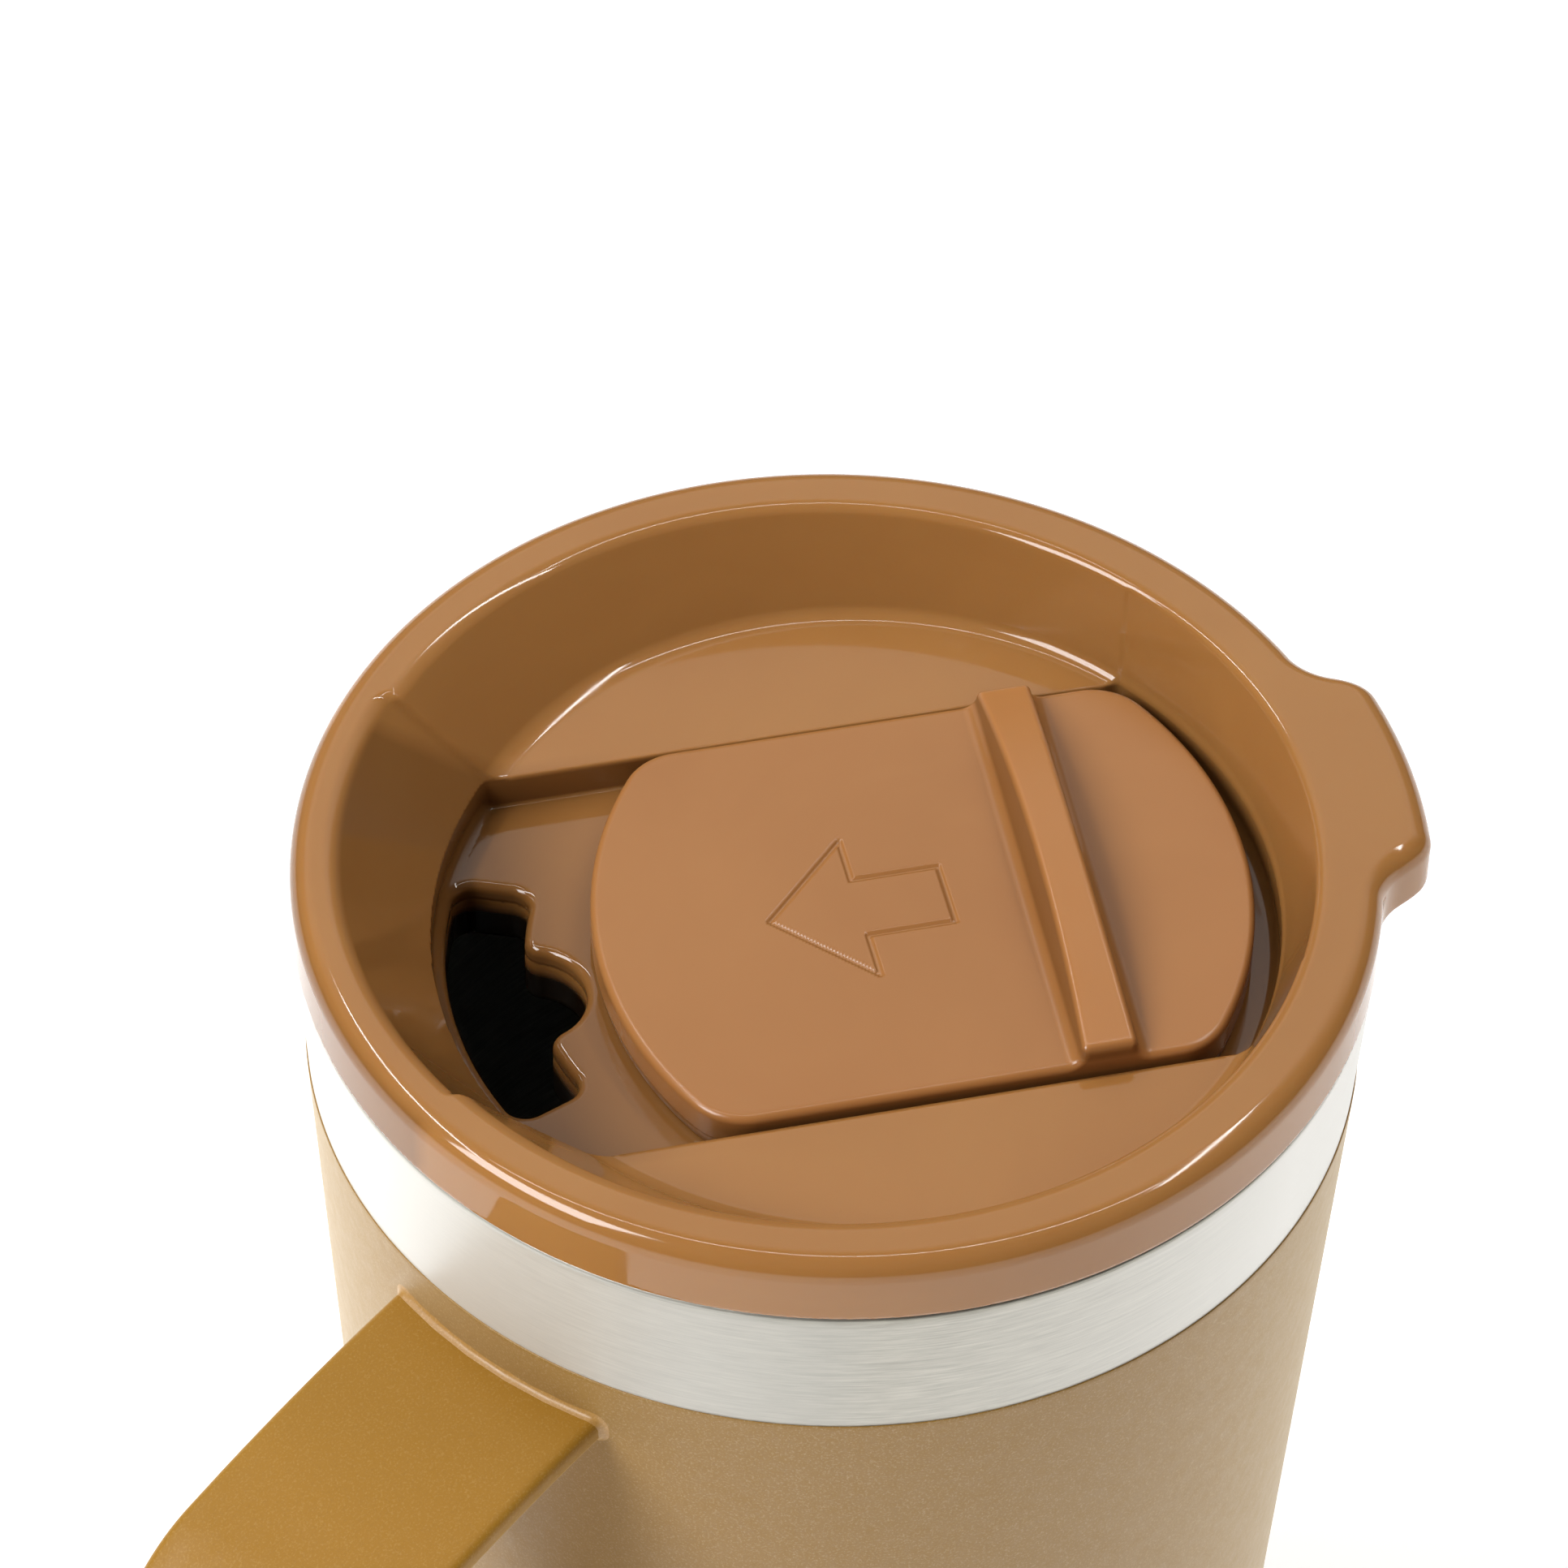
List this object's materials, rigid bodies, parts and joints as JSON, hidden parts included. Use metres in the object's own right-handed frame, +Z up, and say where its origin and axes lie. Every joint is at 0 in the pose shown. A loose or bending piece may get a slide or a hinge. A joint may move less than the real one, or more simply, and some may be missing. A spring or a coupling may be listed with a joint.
{
  "type": "insulated travel mug",
  "caption": "Vacuum-insulated travel mug with strip handle, press-in lid with thumb tab, and a magnetic slider that uncovers the drinking opening.",
  "frame": {"origin": "centre of the underside of the foot pad, where the mug stands", "axes": "+Z up along the cup's axis towards the lid, +X from the axis towards the handle; the drinking opening points 37.7 degrees to the -Y side of +X and the thumb tab is opposite it"},
  "size_m": [0.1377, 0.1, 0.152],
  "materials": {
    "bare_steel": "fine horizontal brushing",
    "powder_coat": "satin powder coat with a fine grain",
    "liner_steel": "electropolished satin",
    "copper_foil": "thin rolled foil",
    "stamped_steel": "stamped, satin",
    "solder_glass": "glossy bead",
    "getter": "pressed powder, matt",
    "clip_steel": "spring steel",
    "cap_steel": "turned, satin",
    "foot_silicone": "matt",
    "handle_coat": "satin powder coat with a fine grain",
    "weld_coat": "satin powder coat over a bead",
    "lid_plastic": "polished moulding",
    "cover_plastic": "polished moulding",
    "gasket_silicone": "soft, matt",
    "lid_magnet_nickel": "nickel plate",
    "slider_plastic": "satin moulding",
    "slider_base_plastic": "satin moulding",
    "slider_magnet_nickel": "nickel plate"
  },
  "bodies": {
    "mug": {"outer_shell": "bare_steel", "powder_coat": "powder_coat", "inner_liner": "liner_steel", "copper_foil": "copper_foil", "vacuum_bottom": "stamped_steel", "seal_bead": "solder_glass", "getter_pellet": "getter", "getter_clip": "clip_steel", "base_cap": "cap_steel", "foot_pad": "foot_silicone", "handle_strip": "handle_coat", "handle_welds": "weld_coat"},
    "lid": {"lid_body": "lid_plastic", "lid_base_cover": "cover_plastic", "lid_gasket": "gasket_silicone", "lid_magnets": "lid_magnet_nickel"},
    "slider": {"slider_top": "slider_plastic", "slider_base": "slider_base_plastic", "slider_magnets": "slider_magnet_nickel"}
  },
  "joints": [
    {"name": "lid_lift", "type": "slide", "parent": "mug", "child": "lid", "axis": [0, 0, 1], "range_m": [0, 0.04]},
    {"name": "slider_travel", "type": "slide", "parent": "lid", "child": "slider", "axis": [0.7912, -0.6115, 0], "range_m": [0, 0.0146]}
  ]
}
